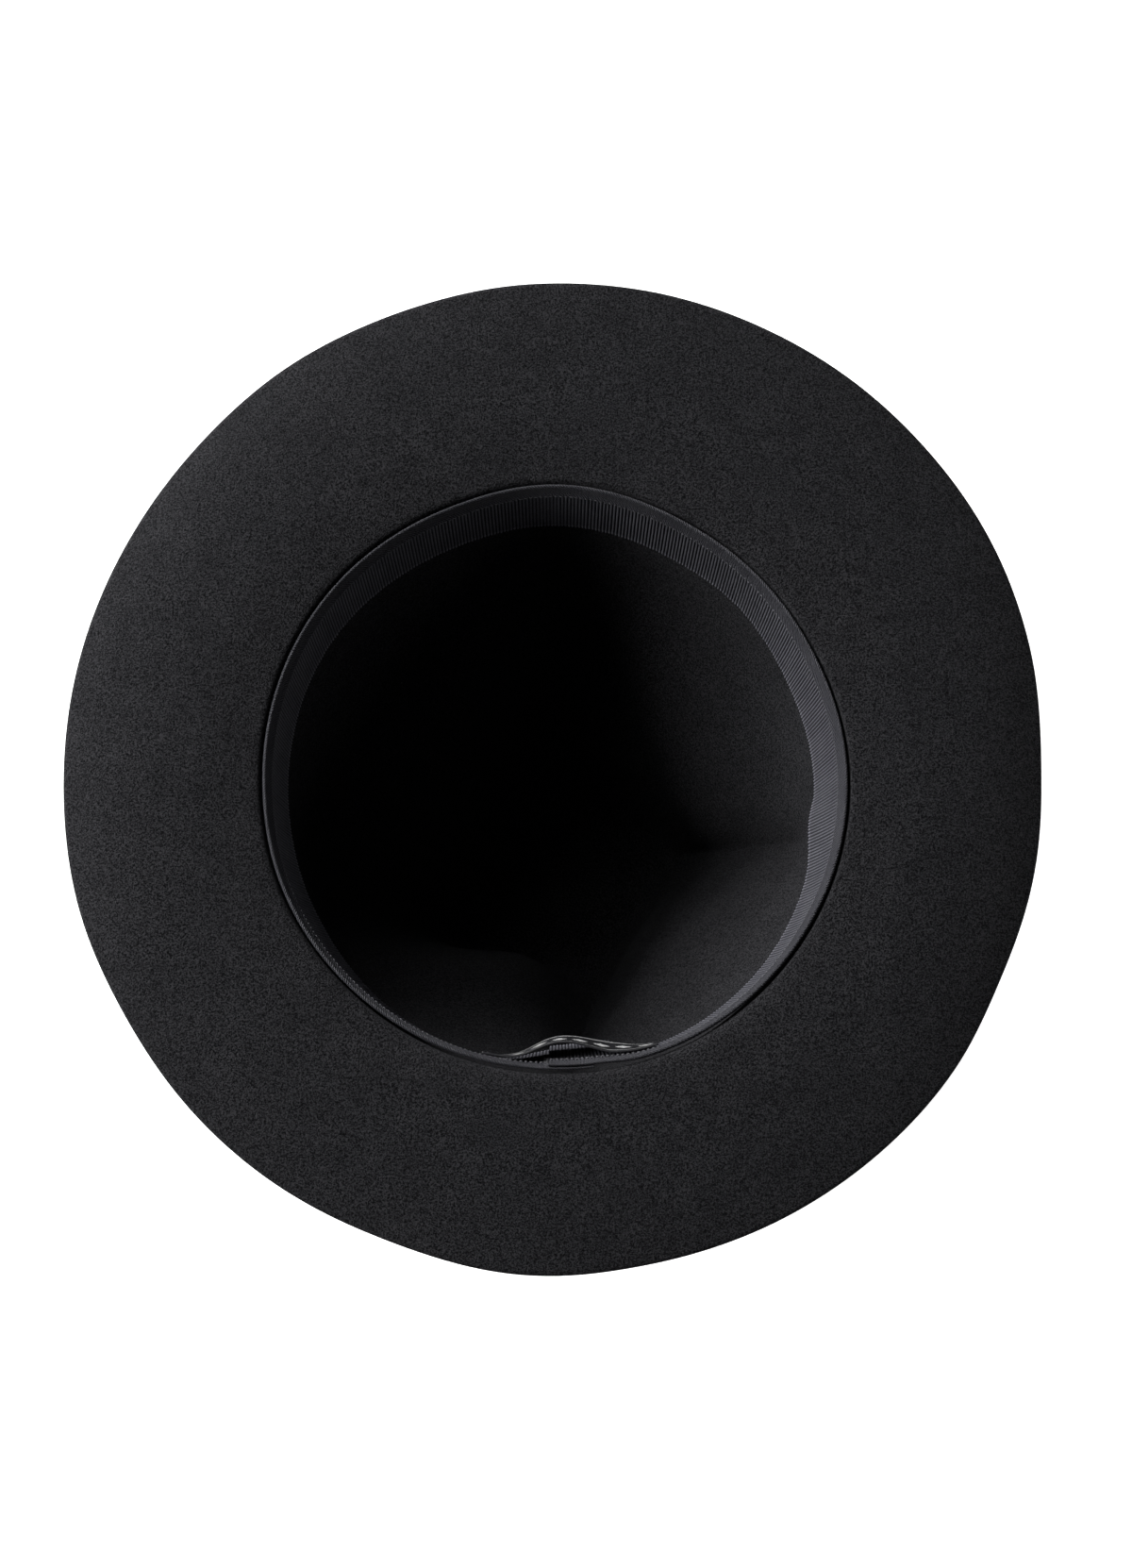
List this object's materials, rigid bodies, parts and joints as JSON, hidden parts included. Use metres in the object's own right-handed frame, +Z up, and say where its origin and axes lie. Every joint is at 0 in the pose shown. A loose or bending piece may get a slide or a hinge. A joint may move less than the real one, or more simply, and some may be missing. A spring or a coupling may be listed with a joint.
{
  "type": "felt mountain hat",
  "caption": "Black felt hat with a tall pinched crown, a slightly curled brim, a ribbed sweatband and a small woven label, resting upside down on its crown.",
  "frame": {"origin": "centre of the flattened crown tip that the hat rests on", "axes": "+Z up, out of the head opening; +Y to the hat's front; +X to the wearer's left"},
  "size_m": [0.3081, 0.3228, 0.152],
  "materials": {
    "felt": "matte",
    "ribbon": "satin",
    "label": "satin"
  },
  "bodies": {
    "root": {"felt_body": "felt", "sweatband": "ribbon", "label": "label"}
  },
  "joints": []
}
